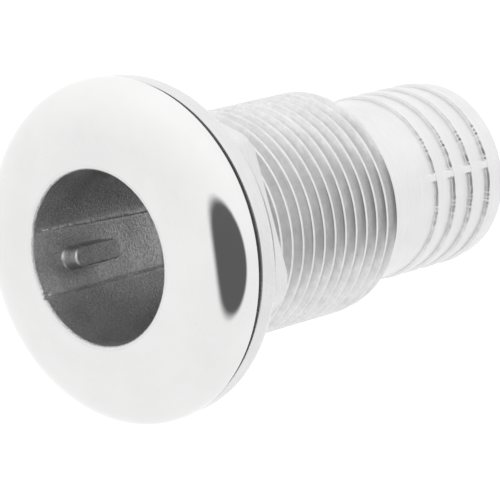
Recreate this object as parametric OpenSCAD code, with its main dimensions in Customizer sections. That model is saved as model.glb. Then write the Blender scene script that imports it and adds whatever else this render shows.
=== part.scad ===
// Thru hull fitting: one casting with a domed flange, a threaded barrel and a barbed hose tail,
// a flanged hex lock nut that runs on the barrel's thread, and a thin sealing washer under the nut.
// The fitting's axis is +Y, the back of the flange is the plane Y = 0, the hose tail points along +Y, +Z is up. Millimetres.

/* [Flange] */
// Diameter of the domed flange
flange_d = 48.6; // [46:0.1:56]
// Height of the dome in front of the hull
flange_h = 5.7; // [4.5:0.1:8]
// Diameter of the flat ring round the mouth, where the dome starts
crown_d = 29.2; // [27.6:0.1:34]
// Rounding of the waterway's mouth
mouth_round = 0.4; // [0.2:0.05:0.6]

/* [Waterway] */
// Bore through the flange and the barrel
bore_d = 24.4; // [22:0.1:25]
// Bore through the hose tail
tail_bore_d = 21.8; // [19:0.1:22]
// Length of each wrench lug inside the mouth
lug_len = 9.3; // [6:0.1:14]
// Width of each wrench lug
lug_w = 3.0; // [2:0.1:4]
// How far each wrench lug stands out from the bore's wall
lug_h = 2.7; // [1.5:0.1:3.2]
// Where the lugs start, behind the back of the flange
lug_start = 0.0; // [-2:0.1:6]
// Direction of the first lug, in degrees from +Z towards +X
lug_angle = 255; // [0:1:359]

/* [Thread] */
// Diameter over the thread's crests
thread_d = 32.6; // [32.2:0.05:33]
// Thread pitch
pitch = 2.309; // [2.2:0.001:2.45]
// Depth of the thread
thread_depth = 1.25; // [1:0.05:1.3]
// Width of the flat left on each crest
crest_w = 0.42; // [0.3:0.01:0.6]
// Hand of the thread
thread_hand = "right"; // [right, left]
// Length of the barrel behind the flange
barrel_len = 39.7; // [34:0.1:60]
// Chamfer at the free end of the thread
thread_chamfer = 0.4; // [0.3:0.1:1]

/* [Hose tail] */
// Length of the hose tail behind the barrel
tail_len = 28.3; // [28:0.1:45]
// Diameter over the barbs
barb_d = 27.3; // [26.6:0.1:28]
// Diameter of the plain tail between them
root_d = 26.5; // [25.4:0.1:26.5]
// Number of barbs
barb_count = 4; // [2:1:4]
// Distance from one barb to the next
barb_step = 4.07; // [3.5:0.01:4.2]
// Distance from the end of the barrel to the first barb
first_barb = 12.4; // [10:0.1:13]

/* [Lock nut] */
// Across flats of the hex
nut_af = 37; // [36:0.1:40]
// Diameter of the nut's washer face
nut_flange_d = 48; // [46:0.1:50]
// Thickness of the nut's rim
nut_flange_t = 2.6; // [2:0.1:3.5]
// Height of the whole nut
nut_h = 9.65; // [8.5:0.05:13]
// Direction of one flat, in degrees from +Z towards +X
nut_angle = 10.3; // [0:0.1:60]
// Clearance between the nut's thread and the barrel's, measured radially
thread_gap = 0.18; // [0.12:0.01:0.25]

/* [Sealing washer] */
// Thickness of the sealing washer
washer_t = 1.0; // [0.5:0.1:2]
// Outside diameter of the sealing washer
washer_d = 47; // [44:0.1:48]
// Hole of the sealing washer
washer_hole_d = 33.4; // [33.2:0.1:35]

/* [Hidden] */
$fn = 96;
thread_r = thread_d / 2;
root_r = thread_r - thread_depth;
bore_r = bore_d / 2;
tail_bore_r = tail_bore_d / 2;
flange_r = flange_d / 2;
crown_r = crown_d / 2;
tail_end = barrel_len + tail_len;
relief_len = 2.6;
turn_steps = 48;
flank_w = thread_depth * tan(27.5);
hand = thread_hand == "right" ? 1 : -1;
// height of a groove's middle at the local angle 0
groove_z0 = 0.211 + pitch / 2;
metal = [0.86, 0.86, 0.85];
rubber = [0.09, 0.09, 0.09];

// the dome from the flat ring out to the rim, as short straight runs
function dome(n) = [for (i = [0:n]) let (t = 90 * (1 - i / n))
    [crown_r + (flange_r - crown_r) * cos(t), -flange_h * pow(sin(t), 0.96)]];

// one barb: a square shoulder towards the barrel, then a long ramp towards the free end
function barb(z) = [[root_d / 2, z], [barb_d / 2, z + 0.12], [barb_d / 2, z + 1.1]];

// a helical ridge with a trapezoid section: [half width, radius] at its inner and outer edge
module helix(w_in, r_in, w_out, r_out, z0, turns) {
    n = ceil(turns * turn_steps);
    sec = [[r_in, -w_in], [r_out, -w_out], [r_out, w_out], [r_in, w_in]];
    pts = [for (i = [0:n]) let (t = 360 * i / turn_steps, z = z0 + pitch * i / turn_steps)
        for (p = sec) [p[0] * cos(hand * t), p[0] * sin(hand * t), z + p[1]]];
    side = [for (i = [0:n - 1]) for (k = [0:3]) let (a = 4 * i + k, b = 4 * i + (k + 1) % 4)
        for (f = [[a, b, b + 4], [a, b + 4, a + 4]]) hand > 0 ? f : [f[2], f[1], f[0]]];
    e = 4 * n;
    ends = hand > 0 ? [[3, 2, 1, 0], [e, e + 1, e + 2, e + 3]] : [[0, 1, 2, 3], [e + 3, e + 2, e + 1, e]];
    polyhedron(pts, concat(side, ends), convexity = 20);
}

// the space between two crests, cut a little past the crest cylinder
module groove(extra, r_root, z_from, z_to) {
    r_out = thread_r + 0.4;
    // half widths so that crest_w is left at the crest radius
    half_crest = (pitch - crest_w) / 2;
    w_root = half_crest - flank_w;
    w_out = half_crest + 0.4 * tan(27.5);
    k = ceil((z_from - groove_z0) / pitch);
    helix(w_root + extra, r_root, w_out + extra, r_out, groove_z0 + k * pitch, (z_to - z_from) / pitch);
}

module lug(a) {
    // a is measured from +Z towards +X; the local frame has +Z along the fitting
    rotate([0, 0, a - 90])
        intersection() {
            translate([0, 0, lug_start + lug_w / 2])
                union() {
                    translate([bore_r - lug_h, -lug_w / 2, 0])
                        cube([lug_h + 1.2, lug_w, lug_len - lug_w]);
                    for (z = [0, lug_len - lug_w])
                        translate([bore_r - lug_h, 0, z])
                            rotate([0, 90, 0])
                                cylinder(h = lug_h + 1.2, d = lug_w);
                }
            cylinder(h = barrel_len * 2, r = bore_r + 0.9, center = true);
        }
}

module body_casting() {
    color(metal)
        rotate([-90, 0, 0]) {
            difference() {
                rotate_extrude()
                    polygon(concat(
                        [[bore_r, -flange_h + mouth_round],
                         [bore_r + mouth_round * 0.3, -flange_h + mouth_round * 0.3],
                         [bore_r + mouth_round, -flange_h]],
                        dome(14),
                        [[thread_r - 0.9, 0], [root_r, 0.5], [root_r, relief_len - 0.6], [thread_r, relief_len + 0.5],
                         [thread_r, barrel_len - thread_chamfer], [thread_r - thread_chamfer, barrel_len],
                         [root_d / 2 + 0.7, barrel_len], [root_d / 2, barrel_len + 0.7]],
                        [for (i = [0:barb_count - 1]) each barb(barrel_len + first_barb + i * barb_step)],
                        [[root_d / 2, tail_end - 0.9], [root_d / 2 - 0.9, tail_end], [tail_bore_r + 0.3, tail_end],
                         [tail_bore_r, tail_end - 0.3],
                         [tail_bore_r, barrel_len + 4], [bore_r, barrel_len + 1]]));
                groove(0, root_r, 1.0, barrel_len + 3);
            }
            for (a = [lug_angle, lug_angle + 180]) lug(a);
        }
}

module sealing_washer() {
    color(rubber)
        rotate([-90, 0, 0])
            difference() {
                cylinder(h = washer_t, d = washer_d);
                translate([0, 0, -1]) cylinder(h = washer_t + 2, d = washer_hole_d);
            }
}

module lock_nut() {
    z0 = washer_t;
    z1 = z0 + nut_h;
    r = nut_flange_d / 2;
    color(metal)
        rotate([-90, 0, 0])
            difference() {
                union() {
                    rotate_extrude()
                        polygon([[root_r - 0.5, z0], [r - 0.2, z0], [r, z0 + 0.2], [r, z0 + nut_flange_t - 0.3],
                                 [r - 0.35, z0 + nut_flange_t + 0.2], [r - 1.3, z0 + nut_flange_t + 1.7],
                                 [r - 3.2, z0 + nut_flange_t + 2.6], [root_r - 0.5, z0 + nut_flange_t + 2.9]]);
                    intersection() {
                        rotate([0, 0, nut_angle - 90 + 30])
                            translate([0, 0, z0 + 1]) cylinder(h = nut_h - 1, r = nut_af / 2 / cos(30), $fn = 6);
                        // the corners are eased where the hex ends
                        rotate_extrude()
                            polygon([[0, z0], [nut_af, z0], [nut_af, z1 - 1.2 - (nut_af - nut_af / 2 / cos(30)) * 0.5],
                                     [nut_af / 2 / cos(30) - 0.9, z1], [0, z1]]);
                    }
                }
                // clear of the barrel's thread root, with a lead-in at both ends
                rotate_extrude()
                    polygon([[0, z0 - 1], [thread_r + 1.5, z0 - 1], [thread_r + 0.5, z0], [root_r + thread_gap, z0 + 1.2],
                             [root_r + thread_gap, z1 - 1.2], [thread_r + 0.5, z1], [thread_r + 1.5, z1 + 1], [0, z1 + 1]]);
                groove_nut();
            }
}

// the nut's own thread: the barrel's ridge, a little larger all round
module groove_nut() {
    half_root = crest_w / 2 + flank_w;
    e = 0.10;
    helix(half_root + e, root_r, crest_w / 2 + e - thread_gap * tan(27.5), thread_r + thread_gap,
          groove_z0 - pitch * 1.5, nut_h / pitch + 3);
}

body_casting();
sealing_washer();
lock_nut();
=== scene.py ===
import math

import bmesh
import bpy
import numpy as np
from mathutils import Matrix, Vector


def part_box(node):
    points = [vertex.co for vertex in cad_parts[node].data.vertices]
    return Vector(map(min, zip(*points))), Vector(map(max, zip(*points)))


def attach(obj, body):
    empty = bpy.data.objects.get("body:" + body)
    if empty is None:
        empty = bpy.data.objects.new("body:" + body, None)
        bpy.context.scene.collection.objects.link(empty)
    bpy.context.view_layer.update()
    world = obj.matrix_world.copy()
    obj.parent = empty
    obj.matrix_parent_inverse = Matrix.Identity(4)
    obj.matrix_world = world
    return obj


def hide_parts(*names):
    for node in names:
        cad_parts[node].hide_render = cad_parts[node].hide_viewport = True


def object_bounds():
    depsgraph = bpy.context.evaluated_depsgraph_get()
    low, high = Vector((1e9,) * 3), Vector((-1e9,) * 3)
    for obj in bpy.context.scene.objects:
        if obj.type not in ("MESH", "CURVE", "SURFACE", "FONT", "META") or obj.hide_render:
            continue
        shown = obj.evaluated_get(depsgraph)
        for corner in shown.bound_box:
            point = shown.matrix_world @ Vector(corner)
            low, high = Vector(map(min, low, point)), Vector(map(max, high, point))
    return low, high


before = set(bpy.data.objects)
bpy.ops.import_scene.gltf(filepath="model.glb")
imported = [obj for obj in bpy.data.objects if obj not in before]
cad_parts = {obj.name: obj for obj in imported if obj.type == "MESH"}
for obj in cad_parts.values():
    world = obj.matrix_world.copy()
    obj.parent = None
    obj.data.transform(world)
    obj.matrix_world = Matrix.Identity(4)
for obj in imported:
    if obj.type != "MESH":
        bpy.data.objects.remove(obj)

cad_lo, cad_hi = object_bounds()

# ---------------------------------------------------------------- sizes, in millimetres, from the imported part
body_lo, body_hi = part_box("body_casting")
nut_lo, nut_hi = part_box("lock_nut")
seal_lo, seal_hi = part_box("sealing_washer")
MM = 1000.0
FLANGE_R = body_hi.x * MM
FLANGE_H = -body_lo.y * MM
TAIL_END = body_hi.y * MM
NUT_Y0, NUT_Y1 = nut_lo.y * MM, nut_hi.y * MM
NUT_R = nut_hi.x * MM
SEAL_T = seal_hi.y * MM
SEAL_R = seal_hi.x * MM
SEAL_HOLE_R = 16.7
CROWN_R = 14.6
MOUTH_ROUND = 0.4
BORE_R = 12.2
TAIL_BORE_R = 10.9
LUG_LEN, LUG_W, LUG_H, LUG_START, LUG_ANGLE = 9.3, 3.0, 2.7, 0.0, 255.0
THREAD_R = 16.3
PITCH = 2.309
DEPTH = 1.25
CREST_W = 0.42
BARREL = 39.7
CHAMFER = 0.4
BARB_R, ROOT_R = 13.65, 13.25
BARBS, BARB_STEP, FIRST_BARB = 4, 4.07, 12.4
NUT_AF, NUT_RIM, NUT_ANGLE = 37.0, 2.6, 10.3
GAP = 0.18
THREAD_ROOT = THREAD_R - DEPTH
TAN = math.tan(math.radians(27.5))
# a crest's middle stands at this height where the angle from +Z towards +X is 90 degrees
CREST_Y_AT_90 = 0.211


def crest_y(phi):
    """Height of one crest's middle at each angle, in degrees from +Z towards +X."""
    return CREST_Y_AT_90 + PITCH * (phi - 90.0) / 360.0


def smoothstep(x, a, b):
    t = np.clip((x - a) / (b - a), 0.0, 1.0)
    return t * t * (3 - 2 * t)


def angle_gap(phi, centre):
    return (phi - centre + 180.0) % 360.0 - 180.0


def columns(step, clusters):
    """Angles round the axis: even steps, with finer ones near each cluster (centre, half width, step)."""
    every = list(np.arange(0.0, 360.0, step))
    for centre, half, fine in clusters:
        every += [(centre + x) % 360.0 for x in np.arange(-half, half + fine / 2, fine)]
    every = sorted(every)
    kept = [every[0]]
    for x in every[1:]:
        if x - kept[-1] > 0.05:
            kept.append(x)
    if 360.0 - kept[-1] < 0.05:
        kept.pop()
    return np.array(kept)


class Turned:
    """A closed surface round the +Y axis, as rows of (y, r) at every column, with one stretch of rows that follows the thread's helix."""

    def __init__(self, phi):
        self.phi = phi
        self.rows = []
        self.mats = []
        self.helix = None

    def row(self, y, r, mat=0):
        n = len(self.phi)
        self.rows.append((np.broadcast_to(np.asarray(y, float), n).copy(), np.broadcast_to(np.asarray(r, float), n).copy()))
        self.mats.append(mat)

    def thread(self, offsets, y0, y1, radius, mat=0):
        """Rows along the helix from y0 to y1. offsets are the rows' heights within one pitch; radius(y, phi) gives the surface."""
        first = len(self.rows)
        frac = self.phi / 360.0
        base = crest_y(0.0)
        k = math.floor((y0 - PITCH - base) / PITCH) - 1
        while base + k * PITCH < y1 + PITCH:
            for o in offsets:
                z = np.clip(base + k * PITCH + o + PITCH * frac, y0, y1)
                self.rows.append((z, radius(z, self.phi)))
                self.mats.append(mat)
            k += 1
        self.helix = (first, len(self.rows), len(offsets))

    def mesh(self, name, move=None):
        phi = np.radians(self.phi)
        Y = np.array([y for y, _ in self.rows])
        R = np.array([r for _, r in self.rows])
        if move is not None:
            Y, R = move(Y, R, self.phi)
        n_rows, n = Y.shape
        co = np.stack([R * np.sin(phi), Y, R * np.cos(phi)], -1).reshape(-1, 3) / MM
        i = np.arange(n_rows)
        nxt = (i + 1) % n_rows
        wrap = i.copy()
        if self.helix:
            a, b, m = self.helix
            inside = (i >= a) & (i < b)
            wrap = np.where(inside, np.minimum(i + m, b - 1), i)
        faces, mats = [], []
        for j in range(n):
            if j < n - 1:
                q = np.stack([i * n + j, nxt * n + j, nxt * n + j + 1, i * n + j + 1], 1)
            else:
                q = np.stack([i * n + j, nxt * n + j, wrap[nxt] * n, wrap[i] * n], 1)
            faces.append(q)
            mats.append(np.array(self.mats)[i])
        faces = np.concatenate(faces)
        mats = np.concatenate(mats)
        me = bpy.data.meshes.new(name)
        me.from_pydata(co.tolist(), [], faces.tolist())
        me.polygons.foreach_set("material_index", mats.astype(np.int32))
        bm = bmesh.new()
        bm.from_mesh(me)
        bmesh.ops.remove_doubles(bm, verts=bm.verts, dist=4e-7)
        bmesh.ops.dissolve_degenerate(bm, dist=1e-8, edges=bm.edges)
        bmesh.ops.recalc_face_normals(bm, faces=bm.faces)
        if bm.calc_volume(signed=True) < 0:
            bmesh.ops.reverse_faces(bm, faces=bm.faces)
        bm.to_mesh(me)
        bm.free()
        ob = bpy.data.objects.new(name, me)
        bpy.context.scene.collection.objects.link(ob)
        return ob


def finish_normals(ob, degrees=33.0, weighted=True):
    me = ob.data
    me.polygons.foreach_set("use_smooth", np.ones(len(me.polygons), bool))
    me.set_sharp_from_angle(angle=math.radians(degrees))
    if weighted:
        mod = ob.modifiers.new("face_normals", "WEIGHTED_NORMAL")
        mod.keep_sharp = True
        mod.weight = 50
        apply_modifiers(ob)
    ob.data.update()


def apply_modifiers(ob):
    bpy.context.view_layer.update()
    dg = bpy.context.evaluated_depsgraph_get()
    new = bpy.data.meshes.new_from_object(ob.evaluated_get(dg), preserve_all_data_layers=True, depsgraph=dg)
    old = ob.data
    ob.modifiers.clear()
    ob.data = new
    new.name = old.name
    bpy.data.meshes.remove(old)


# ---------------------------------------------------------------- materials
class Nodes:
    """Short hand for one material's node tree."""

    def __init__(self, name):
        self.mat = bpy.data.materials.new(name)
        self.mat.use_nodes = True
        self.tree = self.mat.node_tree
        self.tree.nodes.clear()
        self.out = self.new("ShaderNodeOutputMaterial")
        self.bsdf = self.new("ShaderNodeBsdfPrincipled")
        self.link(self.bsdf.outputs[0], self.out.inputs[0])
        self.pos = self.new("ShaderNodeTexCoord").outputs["Object"]

    def new(self, kind, **props):
        n = self.tree.nodes.new(kind)
        for k, v in props.items():
            setattr(n, k, v)
        return n

    def link(self, a, b):
        self.tree.links.new(a, b)

    def mapped(self, scale, rotation=(0, 0, 0)):
        m = self.new("ShaderNodeMapping")
        m.inputs["Scale"].default_value = scale
        m.inputs["Rotation"].default_value = rotation
        self.link(self.pos, m.inputs["Vector"])
        return m.outputs[0]

    def noise(self, scale, detail=3.0, rough=0.5, vector=None, distortion=0.0):
        n = self.new("ShaderNodeTexNoise")
        n.inputs["Scale"].default_value = scale
        n.inputs["Detail"].default_value = detail
        n.inputs["Roughness"].default_value = rough
        n.inputs["Distortion"].default_value = distortion
        self.link(vector if vector is not None else self.pos, n.inputs["Vector"])
        return n.outputs["Fac"]

    def ramp(self, fac, stops):
        r = self.new("ShaderNodeValToRGB")
        while len(r.color_ramp.elements) > 2:
            r.color_ramp.elements.remove(r.color_ramp.elements[-1])
        while len(r.color_ramp.elements) < len(stops):
            r.color_ramp.elements.new(0.5)
        for e, (p, c) in zip(r.color_ramp.elements, stops):
            e.position = p
            e.color = (*c, 1.0) if isinstance(c, tuple) else (c, c, c, 1.0)
        self.link(fac, r.inputs["Fac"])
        return r.outputs["Color"]

    def math(self, op, a, b=None, clamp=False):
        m = self.new("ShaderNodeMath", operation=op, use_clamp=clamp)
        for k, v in enumerate((a, b)):
            if v is None:
                continue
            if isinstance(v, (int, float)):
                m.inputs[k].default_value = v
            else:
                self.link(v, m.inputs[k])
        return m.outputs[0]

    def bump(self, height, strength, distance, normal=None):
        b = self.new("ShaderNodeBump")
        b.inputs["Strength"].default_value = strength
        b.inputs["Distance"].default_value = distance
        self.link(height, b.inputs["Height"])
        if normal is not None:
            self.link(normal, b.inputs["Normal"])
        return b.outputs[0]

    def set(self, **values):
        for k, v in values.items():
            s = self.bsdf.inputs[k.replace("_", " ")]
            if hasattr(v, "links") or hasattr(v, "is_linked"):
                self.link(v, s)
            else:
                s.default_value = v
        return self.mat


def polished_steel():
    n = Nodes("polished_stainless")
    cloud = n.noise(90.0, 4.0, 0.6)
    fine = n.noise(900.0, 3.0, 0.6)
    colour = n.ramp(cloud, [(0.35, (0.670, 0.670, 0.667)), (0.65, (0.700, 0.700, 0.697))])
    rough = n.ramp(n.math("ADD", n.math("MULTIPLY", cloud, 0.6), n.math("MULTIPLY", fine, 0.4)), [(0.3, 0.045), (0.7, 0.085)])
    wave = n.noise(55.0, 1.0, 0.4)
    b = n.bump(wave, 0.10, 0.0006)
    b = n.bump(fine, 0.03, 0.00006, b)
    n.set(Metallic=1.0)
    n.link(colour, n.bsdf.inputs["Base Color"])
    n.link(rough, n.bsdf.inputs["Roughness"])
    n.link(b, n.bsdf.inputs["Normal"])
    return n.mat


def turned_steel(name, light, dark, rough_lo, rough_hi, lines=5200.0, line_strength=0.10, mottle=0.0):
    """Steel from a lathe: fine rings round the axis, faint stains, uneven gloss."""
    n = Nodes(name)
    stretched = n.mapped((1.0, 14.0, 1.0))
    cloud = n.noise(160.0, 4.0, 0.62)
    streak = n.noise(260.0, 4.0, 0.7, stretched)
    rings = n.noise(lines / 14.0, 2.0, 0.7, n.mapped((0.25, 14.0, 0.25)))
    mix = n.math("ADD", n.math("MULTIPLY", cloud, 0.45), n.math("MULTIPLY", streak, 0.55))
    if mottle:
        mix = n.math("ADD", n.math("MULTIPLY", mix, 1.0 - mottle), n.math("MULTIPLY", n.noise(1100.0, 4.0, 0.7), mottle))
    colour = n.ramp(mix, [(0.36, dark), (0.62, light)])
    rough = n.ramp(mix, [(0.3, rough_hi), (0.7, rough_lo)])
    b = n.bump(rings, line_strength, 0.00005)
    b = n.bump(cloud, 0.05, 0.0001, b)
    n.set(Metallic=1.0)
    n.link(colour, n.bsdf.inputs["Base Color"])
    n.link(rough, n.bsdf.inputs["Roughness"])
    n.link(b, n.bsdf.inputs["Normal"])
    return n.mat


def cast_steel(name, light, dark, rough, pits=1500.0, strength=0.5):
    """The rough skin of a casting: grainy, with small pits, darker near the mouth and lighter further in."""
    n = Nodes(name)
    grain = n.noise(pits * 1.9, 3.0, 0.65)
    speck = n.noise(pits * 4.0, 2.0, 0.6)
    cloud = n.noise(150.0, 4.0, 0.62)
    v = n.new("ShaderNodeTexVoronoi")
    v.inputs["Scale"].default_value = pits * 0.55
    n.link(n.pos, v.inputs["Vector"])
    pit = n.ramp(v.outputs["Distance"], [(0.0, 0.0), (0.30, 1.0)])
    mix = n.math("ADD", n.math("ADD", n.math("MULTIPLY", grain, 0.40), n.math("MULTIPLY", cloud, 0.30)), n.math("MULTIPLY", speck, 0.30))
    skin = n.ramp(mix, [(0.43, dark), (0.57, light)])
    sep = n.new("ShaderNodeSeparateXYZ")
    n.link(n.pos, sep.inputs[0])
    inward = n.math("MULTIPLY", sep.outputs["Y"], 42.0)
    depth = n.ramp(n.math("ADD", inward, n.math("MULTIPLY", cloud, 0.25)), [(0.0, 0.86), (0.28, 0.90), (0.50, 1.0)])
    # painted shade: the colour darkens round the lug's foot, where shade gathers
    near = n.new("ShaderNodeVectorMath")
    near.operation = "DISTANCE"
    near.inputs[1].default_value = (-0.0110, 0.0022, -0.0034)
    n.link(n.pos, near.inputs[0])
    painted_lug_shade = n.ramp(n.math("ADD", n.math("MULTIPLY", near.outputs["Value"], 170.0), n.math("MULTIPLY", cloud, 0.30)), [(0.45, 0.80), (1.0, 1.0)])
    band = n.new("ShaderNodeVectorMath")
    band.operation = "DOT_PRODUCT"
    band.inputs[1].default_value = (-968.0, 0.0, -250.0)
    n.link(n.pos, band.inputs[0])
    between = n.ramp(n.math("SUBTRACT", n.math("ABSOLUTE", band.outputs["Value"]), 11.0), [(0.05, 0.74), (0.45, 1.0)])
    both = n.new("ShaderNodeMix", data_type="RGBA", blend_type="MULTIPLY")
    both.inputs["Factor"].default_value = 1.0
    n.link(skin, both.inputs["A"])
    n.link(depth, both.inputs["B"])
    all_ = n.new("ShaderNodeMix", data_type="RGBA", blend_type="MULTIPLY")
    all_.inputs["Factor"].default_value = 1.0
    n.link(both.outputs["Result"], all_.inputs["A"])
    n.link(painted_lug_shade, all_.inputs["B"])
    last = n.new("ShaderNodeMix", data_type="RGBA", blend_type="MULTIPLY")
    last.inputs["Factor"].default_value = 1.0
    n.link(all_.outputs["Result"], last.inputs["A"])
    n.link(between, last.inputs["B"])
    r = n.ramp(grain, [(0.3, rough + 0.1), (0.7, rough - 0.05)])
    b = n.bump(grain, strength, 0.00022)
    b = n.bump(pit, strength * 0.5, 0.00010, b)
    n.set(Metallic=0.9)
    n.link(last.outputs["Result"], n.bsdf.inputs["Base Color"])
    n.link(r, n.bsdf.inputs["Roughness"])
    n.link(b, n.bsdf.inputs["Normal"])
    return n.mat


def rubber():
    n = Nodes("black_rubber")
    grain = n.noise(2600.0, 4.0, 0.6)
    cloud = n.noise(220.0, 3.0, 0.6)
    colour = n.ramp(cloud, [(0.3, 0.100), (0.7, 0.130)])
    rough = n.ramp(grain, [(0.3, 0.62), (0.7, 0.78)])
    n.set(Metallic=0.0)
    n.link(colour, n.bsdf.inputs["Base Color"])
    n.link(rough, n.bsdf.inputs["Roughness"])
    n.link(n.bump(grain, 0.25, 0.00004), n.bsdf.inputs["Normal"])
    return n.mat


POLISHED = polished_steel()
THREADED = turned_steel("machined_thread", 0.69, 0.55, 0.26, 0.38, mottle=0.40)
TAIL = turned_steel("satin_tail", 0.69, 0.64, 0.30, 0.42, lines=2500.0, line_strength=0.06)
CAST = cast_steel("cast_waterway", 1.0, 0.66, 0.36, strength=0.7)
# brighter worn metal for the lug's front edges: partly real wear, partly a painted highlight
WORN_AND_HIGHLIGHT = turned_steel("worn_and_highlight_edge", 0.80, 0.62, 0.38, 0.50)
NUT = turned_steel("satin_nut", 0.64, 0.59, 0.22, 0.34)
RUBBER = rubber()


# ---------------------------------------------------------------- the casting
def male_radius(y, phi):
    """The barrel's thread, flat-crested with small roundings, eased at both ends."""
    off = np.abs((y - crest_y(phi) + PITCH / 2) % PITCH - PITCH / 2)
    half = CREST_W / 2
    pts_x = [0.0, half - 0.06, half - 0.01, half + 0.035, half + 0.12, half + TAN * (DEPTH - 0.12), half + TAN * DEPTH + 0.0, half + TAN * DEPTH + 0.07, PITCH / 2]
    pts_d = [0.0, 0.0, 0.015, 0.075, 0.12 / TAN, DEPTH - 0.12, DEPTH - 0.03, DEPTH, DEPTH]
    r = THREAD_R - np.interp(off, pts_x, pts_d)
    y_end = BARREL
    env = np.interp(y, [0.0, 0.5, 2.0, 3.1, y_end - CHAMFER, y_end],
                    [THREAD_ROOT + 0.35, THREAD_ROOT, THREAD_ROOT, THREAD_R, THREAD_R, THREAD_R - CHAMFER])
    return np.minimum(r, env)


def thread_offsets():
    half = CREST_W / 2
    side = [0.0, half - 0.06, half - 0.01, half + 0.035, half + 0.12, half + TAN * DEPTH * 0.5, half + TAN * (DEPTH - 0.12), half + TAN * DEPTH, half + TAN * DEPTH + 0.07]
    return side + [PITCH / 2] + [PITCH - x for x in side[:0:-1]]


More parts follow.
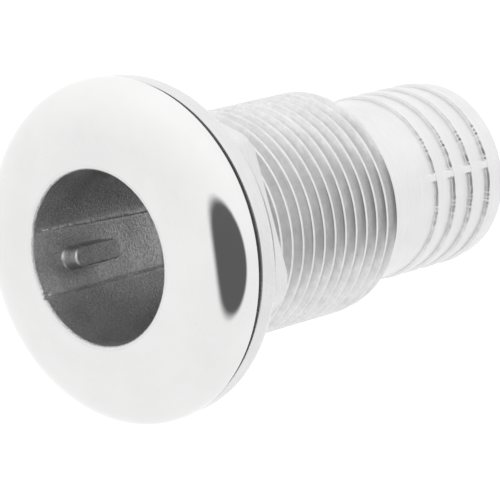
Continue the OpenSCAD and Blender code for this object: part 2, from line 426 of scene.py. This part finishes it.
def build_casting():
    lines = [-84.0, -126.3, 96.0, 53.7]
    phi = columns(1.5, [(a % 360, 5.0, 0.28) for a in lines] + [(75.0, 5.0, 0.45), (255.0, 5.0, 0.45)])
    t = Turned(phi)
    P, TH, TL, CB = 0, 1, 2, 3
    # mouth, crown and dome
    mr = MOUTH_ROUND
    for k in range(5):
        a = math.radians(90.0 * k / 4)
        t.row(-FLANGE_H + mr - mr * math.sin(a), BORE_R + mr - mr * math.cos(a), CB if k < 3 else TL)
    for r in np.linspace(BORE_R + mr, CROWN_R, 8)[1:]:
        t.row(-FLANGE_H, r, P)
    for k in range(1, 72):
        a = math.radians(90.0 * (1 - k / 72))
        y = -FLANGE_H * math.sin(a) ** 0.96
        if y > -0.16:
            break
        t.row(y, CROWN_R + (FLANGE_R - CROWN_R) * math.cos(a), P)
    t.row(-0.10, FLANGE_R - 0.01, P)
    t.row(-0.03, FLANGE_R - 0.05, P)
    t.row(0.0, FLANGE_R - 0.13, TH)
    for r in np.linspace(FLANGE_R - 0.5, THREAD_ROOT + 0.5, 14):
        t.row(0.0, r, TH)
    # thread
    t.thread(thread_offsets(), 0.0, BARREL, male_radius, TH)
    # shoulder, neck, barbs
    t.row(BARREL, THREAD_ROOT - 0.25, TL)
    t.row(BARREL, ROOT_R + 1.1, TL)
    for k in range(0, 7):
        a = math.radians(90.0 * k / 6)
        t.row(BARREL + 0.7 - 0.7 * math.cos(a), ROOT_R + 0.7 - 0.7 * math.sin(a), TL)
    first = BARREL + FIRST_BARB
    for y in np.linspace(BARREL + 1.2, first - 0.6, 16):
        t.row(y, ROOT_R, TL)
    for b in range(BARBS):
        z = first + b * BARB_STEP
        last = b == BARBS - 1
        arc = phi * np.pi / 180.0
        ragged = 0.035 * np.sin(23 * arc + 1.7 * b) + 0.025 * np.sin(57 * arc + 0.9 * b) + 0.020 * np.sin(131 * arc + 2.3 * b)
        for dy, dr in ((-0.42, 0.0), (-0.20, 0.0), (-0.10, 0.006), (-0.04, 0.03), (0.0, 0.09), (0.03, 0.20), (0.06, 0.30), (0.10, 0.36), (0.18, 0.39), (0.28, 0.40), (0.6, 0.40), (1.1, 0.40)):
            t.row(z + dy + (ragged if -0.3 < dy < 0.5 else 0.0), ROOT_R + dr, TL)
        stop = BARB_STEP - 0.55
        for u in (1.4, 1.8, 2.3, 2.8, 3.2, stop):
            t.row(z + u, ROOT_R + 0.40 * (1 - (u - 1.1) / (stop + 0.15 - 1.1)) * (0.8 if last else 1.0) + (0.0), TL)
    y_last = first + (BARBS - 1) * BARB_STEP + BARB_STEP - 0.55
    for k in range(0, 9):
        a = math.radians(90.0 * k / 8)
        t.row(TAIL_END - 0.9 + 0.9 * math.sin(a), ROOT_R - 0.9 + 0.9 * math.cos(a), TL)
    t.row(TAIL_END, ROOT_R - 1.3, TL)
    for k in range(0, 5):
        a = math.radians(90.0 * k / 4)
        t.row(TAIL_END - 0.3 + 0.3 * math.cos(a), TAIL_BORE_R + 0.3 - 0.3 * math.sin(a), CB)
    # the waterway, back to the mouth
    for y in np.linspace(TAIL_END - 1.0, BARREL + 4.0, 40):
        t.row(y, TAIL_BORE_R, CB)
    for u in np.linspace(0, 1, 9)[1:]:
        t.row(BARREL + 4.0 - 3.0 * u, TAIL_BORE_R + (BORE_R - TAIL_BORE_R) * (3 * u * u - 2 * u ** 3), CB)
    for y in np.linspace(BARREL + 0.7, 14.0, 30):
        t.row(y, BORE_R, CB)
    for y in np.arange(13.8, -FLANGE_H + mr + 0.05, -0.16):
        t.row(y, BORE_R, CB)

    def move(Y, R, phi):
        F = np.broadcast_to(phi, Y.shape)
        inner = np.zeros(len(Y), bool)
        inner[[k for k, m in enumerate(t.mats) if m == CB]] = True
        inner = inner[:, None] & (Y < BARREL)
        # the mould's parting lines in the waterway: a burred bead and a thin sunk line, on each side
        for turn in (0.0, 180.0):
            bead = angle_gap(F, -82.6 - 0.21 * Y + turn) * np.pi / 180 * BORE_R
            rough = (0.5 + 0.5 * np.sin(Y * 5.1 + 1.3 * np.sin(Y * 2.3 + turn))) * (0.55 + 0.45 * np.sin(Y * 1.7 + 0.6 + turn)) ** 2
            crumb = np.clip(np.sin(Y * 11.3 + 2.0 * np.sin(Y * 3.7 + turn)), 0, 1) ** 2 * (0.45 + 0.55 * np.sin(Y * 0.83 + 0.4 + turn) ** 2)
            h = (0.04 + 0.12 * rough + 0.48 * crumb) * np.exp(-((bead / 0.19) ** 2)) - 0.10 * np.exp(-(((bead + 0.34) / 0.13) ** 2))
            R = np.where(inner, R - h * smoothstep(Y, -4.9, -3.4), R)
            sunk = angle_gap(F, -126.4 + 0.045 * Y + turn) * np.pi / 180 * BORE_R
            deep = 0.14 + 0.12 * (0.5 + 0.5 * np.sin(Y * 0.9 + 0.8))
            deep = deep * (1.0 if turn == 0.0 else smoothstep(Y, -4.2, -1.5))
            R = np.where(inner, R + deep * np.exp(-((sunk / 0.13) ** 2)) - 0.035 * np.exp(-(((sunk - 0.3) / 0.12) ** 2)), R)
        # a nick where the sunk line meets the mouth
        near = np.exp(-((angle_gap(F, -124.9) * np.pi / 180 * BORE_R / 0.5) ** 4)) * smoothstep(-Y, FLANGE_H - 1.6, FLANGE_H - 0.7)
        R = np.where(inner | (np.abs(R - BORE_R) < MOUTH_ROUND + 0.01) & (Y < -FLANGE_H + 2.0), R + 0.20 * near, R)
        # casting seams along the tail fill the barbs' steps
        for seam in (75.0, 255.0):
            d = np.abs(angle_gap(F, seam)) * np.pi / 180 * BARB_R
            w = 1 - smoothstep(d, 0.35, 0.8)
            on = (Y > BARREL + 6.0) & (Y < TAIL_END - 1.2) & (R > 12.5)
            fill = smoothstep(Y, first - 1.8, first - 0.3)
            target = ROOT_R + 0.33
            R = np.where(on, np.maximum(R, R + (target - R) * w * fill * (R < target)), R)
        return Y, R

    ob = t.mesh("casting", move)
    for m in (POLISHED, THREADED, TAIL, CAST):
        ob.data.materials.append(m)
    # wrench lugs
    for a in (LUG_ANGLE, LUG_ANGLE + 180.0):
        lug = build_lug(a)
        mod = ob.modifiers.new("lug", "BOOLEAN")
        mod.operation = "UNION"
        mod.solver = "EXACT"
        mod.material_mode = "TRANSFER"
        mod.object = lug
        apply_modifiers(ob)
        bpy.data.objects.remove(lug)
    finish_normals(ob, 34.0)
    return ob


def build_lug(angle):
    """One stadium-shaped lug with a small fillet at its foot, as a closed solid that reaches into the wall."""
    a = math.radians(angle)
    u = Vector((math.sin(a), 0, math.cos(a)))
    v = Vector((math.cos(a), 0, -math.sin(a)))
    top = BORE_R - LUG_H
    rings = [(BORE_R + 0.8, 0.42), (BORE_R + 0.10, 0.42), (BORE_R - 0.03, 0.26), (BORE_R - 0.12, 0.13), (BORE_R - 0.26, 0.05), (BORE_R - 0.5, 0.0),
             (top + 1.2, -0.03), (top + 0.30, -0.05), (top + 0.15, -0.08), (top + 0.05, -0.16), (top, -0.30), (top, -0.7)]
    n = 20
    verts, faces = [], []
    for r, grow in rings:
        rad = LUG_W / 2 + grow
        y0, y1 = LUG_START + LUG_W / 2, LUG_START + LUG_LEN - LUG_W / 2
        for k in range(n + 1):
            t = math.pi * k / n
            p = u * r + v * (rad * math.cos(t))
            verts.append(((p.x) / MM, (y1 + rad * math.sin(t)) / MM, p.z / MM))
        for k in range(n + 1):
            t = math.pi * (1 + k / n)
            p = u * r + v * (rad * math.cos(t))
            verts.append(((p.x) / MM, (y0 + rad * math.sin(t)) / MM, p.z / MM))
    m = 2 * (n + 1)
    for i in range(len(rings) - 1):
        for k in range(m):
            faces.append([i * m + k, i * m + (k + 1) % m, (i + 1) * m + (k + 1) % m, (i + 1) * m + k])
    faces.append(list(range(m))[::-1])
    faces.append([(len(rings) - 1) * m + k for k in range(m)])
    me = bpy.data.meshes.new("lug")
    me.from_pydata(verts, [], faces)
    bm = bmesh.new()
    bm.from_mesh(me)
    bmesh.ops.remove_doubles(bm, verts=bm.verts, dist=1e-8)
    bmesh.ops.recalc_face_normals(bm, faces=bm.faces)
    bm.to_mesh(me)
    bm.free()
    ob = bpy.data.objects.new("lug", me)
    for mat in (CAST, WORN_AND_HIGHLIGHT):
        me.materials.append(mat)
    # painted highlight with wear: faces on the front end's top edge and on its foot take the brighter worn metal,
    # giving two bright arcs
    for f in me.polygons:
        c = f.center * MM
        r = math.hypot(c.x, c.z)
        if c.y < y0 and (top + 0.02 < r < top + 0.4 or BORE_R - 0.2 < r < BORE_R + 0.05):
            f.material_index = 1
    bpy.context.scene.collection.objects.link(ob)
    return ob


casting = build_casting()
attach(casting, "fitting")
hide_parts("body_casting")


# ---------------------------------------------------------------- the lock nut
def build_nut():
    corners = [(NUT_ANGLE + 30 + 60 * k) % 360 for k in range(6)]
    phi = columns(1.5, [(c, 3.6, 0.4) for c in corners])
    t = Turned(phi)
    h0, h1 = NUT_Y0, NUT_Y1
    apothem = NUT_AF / 2
    # distance to the hex's side in each direction, corners rounded a little
    d = np.abs((phi - NUT_ANGLE + 30.0) % 60.0 - 30.0)
    sharp = apothem / np.cos(np.radians(d))
    far = apothem / math.cos(math.radians(30))
    ease = 0.35
    hexr = sharp - ease * np.exp(-((30.0 - d) / 1.5))
    e = 0.10
    half_g = CREST_W / 2 + e - GAP * TAN
    flank = TAN * DEPTH
    top_r, low_r = THREAD_R + GAP, THREAD_ROOT + GAP

    def female(y, ph):
        off = np.abs((y - crest_y(ph) + PITCH / 2) % PITCH - PITCH / 2)
        x1 = half_g + flank
        r = np.interp(off, [0.0, half_g - 0.02, half_g + 0.05, x1 - 0.05, x1 + 0.03, PITCH / 2],
                      [top_r, top_r, top_r - 0.10, low_r + 0.10, low_r, low_r])
        lead = np.interp(y, [h0, h0 + 1.2, h1 - 1.2, h1], [THREAD_R + 0.5, low_r, low_r, THREAD_R + 0.5])
        return np.maximum(r, lead)

    x1 = half_g + flank
    side = [0.0, half_g - 0.02, half_g + 0.05, half_g + flank / 2, x1 - 0.05, x1 + 0.03]
    offsets = side + [PITCH / 2] + [PITCH - x for x in side[:0:-1]]
    t.thread(offsets, h0, h1, female, 0)
    # top face, outwards to the eased corners
    lead_r = THREAD_R + 0.5
    cone = far - 0.9
    edge = 0.22
    top_edge = np.minimum(hexr, cone)
    t.row(h1, lead_r + 0.12, 0)
    for u in np.linspace(0.15, 1.0, 5):
        t.row(h1, lead_r + (top_edge - edge - lead_r) * u, 0)
    # rounded edge, then the chamfer at the corners, then down the flats
    for k in range(1, 5):
        a = math.radians(90.0 * k / 4)
        t.row(h1 - edge * (1 - math.cos(a)), top_edge - edge + edge * math.sin(a), 0)
    slope = 1.2 / 0.9 * 0.62
    for u in np.linspace(0, 1, 10)[1:]:
        y = h1 - edge - u * 1.0
        t.row(y, np.minimum(hexr, cone + (u * 1.0) / slope), 0)
    # the flats down to the shoulder, and the shoulder out to the rim
    prof = [(h0 + NUT_RIM + 3.0, 15.6), (h0 + NUT_RIM + 2.92, 17.2), (h0 + NUT_RIM + 2.82, 18.4), (h0 + NUT_RIM + 2.68, 19.6), (h0 + NUT_RIM + 2.45, 20.6),
            (h0 + NUT_RIM + 2.1, NUT_R - 2.2), (h0 + NUT_RIM + 1.6, NUT_R - 1.35), (h0 + NUT_RIM + 1.0, NUT_R - 0.75), (h0 + NUT_RIM + 0.45, NUT_R - 0.35),
            (h0 + NUT_RIM, NUT_R - 0.1), (h0 + NUT_RIM - 0.45, NUT_R)]
    py, pr = np.array([p[0] for p in prof]), np.array([p[1] for p in prof])
    s = np.linspace(0, len(prof) - 1, 60)
    yy, rr = np.interp(s, range(len(prof)), py), np.interp(s, range(len(prof)), pr)
    kern = np.exp(-np.linspace(-2, 2, 9) ** 2)
    kern /= kern.sum()
    pad = lambda v: np.concatenate([np.full(4, v[0]), v, np.full(4, v[-1])])
    yy, rr = np.convolve(pad(yy), kern, "valid"), np.convolve(pad(rr), kern, "valid")
    for y in np.linspace(h1 - edge - 1.3, yy[0] + 0.15, 10):
        t.row(y, hexr, 0)
    k_blend = 0.18
    for y, r in zip(yy, rr):
        m = np.maximum(hexr, r)
        soft = m + k_blend * np.exp(-np.abs(hexr - r) / k_blend) * 0.5
        t.row(y, np.minimum(soft, NUT_R), 0)
    front = 0.2
    for y in np.linspace(yy[-1] - 0.2, h0 + front, 6):
        t.row(y, NUT_R, 0)
    for k in range(1, 6):
        a = math.radians(90.0 * k / 5)
        t.row(h0 + front - front * math.sin(a), NUT_R - front + front * math.cos(a), 0)
    for r in np.linspace(NUT_R - 1.0, lead_r + 0.12, 10):
        t.row(h0, r, 0)
    ob = t.mesh("nut")
    ob.data.materials.append(NUT)
    finish_normals(ob, 30.0)
    return ob


nut = build_nut()
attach(nut, "nut")
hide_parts("lock_nut")


# ---------------------------------------------------------------- the sealing washer
def build_washer():
    t = Turned(columns(1.5, []))
    e = 0.12
    y0, y1 = 0.0, SEAL_T
    t.row(y0, SEAL_HOLE_R + e)
    for r in np.linspace(SEAL_HOLE_R + 0.6, SEAL_R - 0.6, 8):
        t.row(y0, r)
    for k in range(0, 5):
        a = math.radians(90.0 * k / 4)
        t.row(y0 + e - e * math.cos(a), SEAL_R - e + e * math.sin(a))
    for k in range(0, 5):
        a = math.radians(90.0 * k / 4)
        t.row(y1 - e + e * math.sin(a), SEAL_R - e + e * math.cos(a))
    for r in np.linspace(SEAL_R - 0.6, SEAL_HOLE_R + 0.6, 8):
        t.row(y1, r)
    for k in range(0, 4):
        a = math.radians(90.0 * k / 4)
        t.row(y1 - e + e * math.cos(a), SEAL_HOLE_R + e - e * math.sin(a))
    for k in range(0, 4):
        a = math.radians(90.0 * k / 4)
        t.row(y0 + e - e * math.sin(a), SEAL_HOLE_R + e - e * math.cos(a))
    ob = t.mesh("seal")
    ob.data.materials.append(RUBBER)
    finish_normals(ob, 40.0)
    return ob


seal = build_washer()
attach(seal, "washer")
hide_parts("sealing_washer")


# ---------------------------------------------------------------- stage
def plane(name, corners, mat):
    me = bpy.data.meshes.new(name)
    me.from_pydata([tuple(c) for c in corners], [], [list(range(len(corners)))])
    ob = bpy.data.objects.new(name, me)
    bpy.context.scene.collection.objects.link(ob)
    me.materials.append(mat)
    return ob


def floor_material():
    n = Nodes("pale_floor")
    c = n.ramp(n.noise(6.0, 3.0, 0.5), [(0.3, (0.925, 0.925, 0.925)), (0.7, (0.94, 0.94, 0.94))])
    n.link(c, n.bsdf.inputs["Base Color"])
    n.bsdf.inputs["Roughness"].default_value = 0.9
    return n.mat


# the fitting is held by its hull seat, axis level, so the floor lies well below it; its near edge is 0.7 m in front of the fitting
floor_z = cad_lo.z - 0.55
near = Vector((0.682, -0.731, 0.0))
side = Vector((0.731, 0.682, 0.0))
plane("floor", [near * 0.7 - side * 6.0 + Vector((0, 0, floor_z)), near * 0.7 + side * 6.0 + Vector((0, 0, floor_z)),
                -near * 6.0 + side * 6.0 + Vector((0, 0, floor_z)), -near * 6.0 - side * 6.0 + Vector((0, 0, floor_z))], floor_material())

world = bpy.data.worlds.new("studio")
bpy.context.scene.world = world
world.use_nodes = True
wt = world.node_tree
bg = wt.nodes["Background"]
tc = wt.nodes.new("ShaderNodeTexCoord")
sep = wt.nodes.new("ShaderNodeSeparateXYZ")
ramp = wt.nodes.new("ShaderNodeValToRGB")
wt.links.new(tc.outputs["Generated"], sep.inputs[0])
wt.links.new(sep.outputs["Z"], ramp.inputs["Fac"])
ramp.color_ramp.elements[0].position = 0.0
ramp.color_ramp.elements[0].color = (0.93, 0.93, 0.93, 1)
ramp.color_ramp.elements[1].position = 0.9
ramp.color_ramp.elements[1].color = (1.05, 1.05, 1.05, 1)


def world_math(op, a, b=None):
    m = wt.nodes.new("ShaderNodeMath")
    m.operation = op
    for k, v in enumerate((a, b)):
        if isinstance(v, (int, float)):
            m.inputs[k].default_value = v
        elif v is not None:
            wt.links.new(v, m.inputs[k])
    return m.outputs[0]


def along(axis):
    m = wt.nodes.new("ShaderNodeVectorMath")
    m.operation = "DOT_PRODUCT"
    m.inputs[1].default_value = axis
    wt.links.new(tc.outputs["Generated"], m.inputs[0])
    return m.outputs["Value"]


# soft light comes from all round, but for one plain oval opening in front of the floor, which the metal reflects;
# seen straight by a camera, the surroundings are pale in every direction, so no view has a dark background
across = world_math("DIVIDE", along(tuple(side)), 0.60)
up = world_math("DIVIDE", world_math("ADD", sep.outputs["Z"], 0.05), 0.47)
oval = world_math("ADD", world_math("MULTIPLY", across, across), world_math("MULTIPLY", up, up))
edge = wt.nodes.new("ShaderNodeMapRange")
edge.interpolation_type = "SMOOTHSTEP"
edge.inputs["From Min"].default_value = 0.80
edge.inputs["From Max"].default_value = 1.20
edge.inputs["To Min"].default_value = 0.12
edge.inputs["To Max"].default_value = 1.0
wt.links.new(oval, edge.inputs["Value"])
opening = world_math("MAXIMUM", edge.outputs["Result"], world_math("LESS_THAN", along(tuple(near)), 0.0))
opening = world_math("MAXIMUM", opening, wt.nodes.new("ShaderNodeLightPath").outputs["Is Camera Ray"])
mul = wt.nodes.new("ShaderNodeMix")
mul.data_type = "RGBA"
mul.blend_type = "MULTIPLY"
mul.inputs["Factor"].default_value = 1.0
wt.links.new(ramp.outputs["Color"], mul.inputs["A"])
wt.links.new(opening, mul.inputs["B"])
wt.links.new(mul.outputs["Result"], bg.inputs["Color"])
bg.inputs["Strength"].default_value = 1.3

# ---------------------------------------------------------------- camera
cam_data = bpy.data.cameras.new("camera")
cam = bpy.data.objects.new("camera", cam_data)
bpy.context.scene.collection.objects.link(cam)
cam_data.sensor_width = 36.0
cam_data.lens = 276.588
cam_data.clip_start, cam_data.clip_end = 0.02, 30.0
right = Vector((0.756399, 0.654111, 0.0))
down = Vector((0.153220, -0.177180, -0.972178))
fwd = Vector((-0.635912, 0.735355, -0.234242))
rot = Matrix((right, -down, -fwd)).transposed()
cam.matrix_world = Matrix.Translation((0.347943, -0.376155, 0.123542)) @ rot.to_4x4()
bpy.context.scene.camera = cam

vs = bpy.context.scene.view_settings
vs.view_transform = "Standard"
vs.look = "None"
